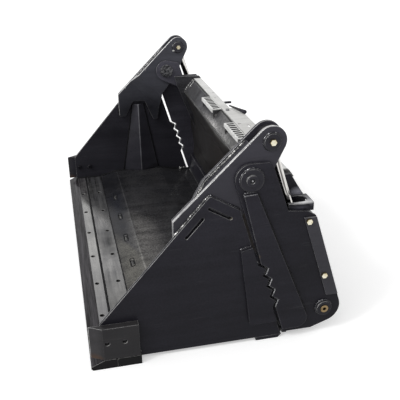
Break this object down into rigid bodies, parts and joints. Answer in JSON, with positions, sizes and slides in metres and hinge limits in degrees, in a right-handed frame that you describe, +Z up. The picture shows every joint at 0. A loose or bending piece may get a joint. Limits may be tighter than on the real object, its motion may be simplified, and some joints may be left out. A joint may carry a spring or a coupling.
{
  "type": "combination bucket",
  "caption": "Loader bucket in two halves: a clam with floor, sides and arms hangs on pins in front of a rear blade and is opened by hydraulic cylinders in the side boxes.",
  "frame": {"origin": "centre of the bucket's footprint box on the ground", "axes": "+X across the bucket to its left side, -Y out of the mouth, +Z up"},
  "size_m": [1.676, 0.9, 0.798],
  "materials": {
    "black_paint": "satin",
    "zinc_plate": "satin",
    "chrome_rod": "polished",
    "pin_steel": "satin",
    "bush_bronze": "satin",
    "pale_step_paint": "satin",
    "hose_rubber": "matte",
    "coupler_black": "gloss"
  },
  "bodies": {
    "rear": {"back_ribs": "black_paint", "base_bosses": "black_paint", "base_pins": "pin_steel", "beam_cheeks": "black_paint", "beam_front": "black_paint", "bottom_closer": "black_paint", "box_backs": "black_paint", "box_flanges": "black_paint", "cover_bolts": "zinc_plate", "cover_strips": "black_paint", "hose_bracket": "pale_step_paint", "hose_bracket_bolt": "zinc_plate", "hose_coupler": "coupler_black", "hose_peg": "coupler_black", "hose_stub": "hose_rubber", "left_rear_inner_plate": "black_paint", "left_rear_outer_plate": "black_paint", "moldboard": "black_paint", "pivot_keepers": "pin_steel", "pivot_pins": "pin_steel", "quick_attach_ledge": "black_paint", "quick_attach_lip": "pale_step_paint", "quick_attach_plate": "black_paint", "rear_cutting_edge": "black_paint", "rear_tooth_strips": "black_paint", "right_rear_inner_plate": "black_paint", "right_rear_outer_plate": "black_paint", "step_treads": "pale_step_paint", "tread_supports": "black_paint"},
    "clam": {"front_edge": "black_paint", "base_edge": "black_paint", "clam_floor": "black_paint", "floor_ribs": "black_paint", "wear_plate": "black_paint", "heel_bar": "black_paint", "left_clam_side_plate": "black_paint", "right_clam_side_plate": "black_paint", "corner_blocks": "black_paint", "block_bolts": "zinc_plate", "left_arm_outer_plate": "black_paint", "right_arm_outer_plate": "black_paint", "left_arm_inner_plate": "black_paint", "right_arm_inner_plate": "black_paint", "arm_spacers": "black_paint", "arm_pivot_tubes": "black_paint", "side_stiffeners": "black_paint", "clam_tooth_plates": "black_paint", "rod_pins": "pin_steel", "rod_pin_bolts": "zinc_plate", "eye_washers": "pin_steel"},
    "left_barrel": {"left_cylinder_barrel": "black_paint", "left_base_bush": "bush_bronze", "left_cylinder_gland": "black_paint"},
    "left_rod": {"left_cylinder_rod": "chrome_rod", "left_cylinder_piston": "pin_steel"},
    "right_barrel": {"right_cylinder_barrel": "black_paint", "right_base_bush": "bush_bronze", "right_cylinder_gland": "black_paint"},
    "right_rod": {"right_cylinder_rod": "chrome_rod", "right_cylinder_piston": "pin_steel"}
  },
  "joints": [
    {"name": "clam_hinge", "type": "hinge", "parent": "rear", "child": "clam", "pos_m": [0, 0.109, 0.629], "axis": [-1, 0, 0], "range_deg": [0, 50]},
    {"name": "left_barrel_swing", "type": "hinge", "parent": "rear", "child": "left_barrel", "pos_m": [0, 0.386, 0.105], "axis": [-1, 0, 0], "range_deg": [-0.5, 5]},
    {"name": "left_rod_slide", "type": "slide", "parent": "left_barrel", "child": "left_rod", "axis": [0, 0.3091, -0.951], "range_m": [0, 0.12]},
    {"name": "right_barrel_swing", "type": "hinge", "parent": "rear", "child": "right_barrel", "pos_m": [0, 0.386, 0.105], "axis": [-1, 0, 0], "range_deg": [-0.5, 5]},
    {"name": "right_rod_slide", "type": "slide", "parent": "right_barrel", "child": "right_rod", "axis": [0, 0.3091, -0.951], "range_m": [0, 0.12]}
  ],
  "couplings": [
    {"joint": "left_barrel_swing", "follows": "clam_hinge", "ratio": 0.0836},
    {"joint": "left_rod_slide", "follows": "clam_hinge", "m_per_rad": 0.1225},
    {"joint": "right_barrel_swing", "follows": "clam_hinge", "ratio": 0.0836},
    {"joint": "right_rod_slide", "follows": "clam_hinge", "m_per_rad": 0.1225}
  ]
}
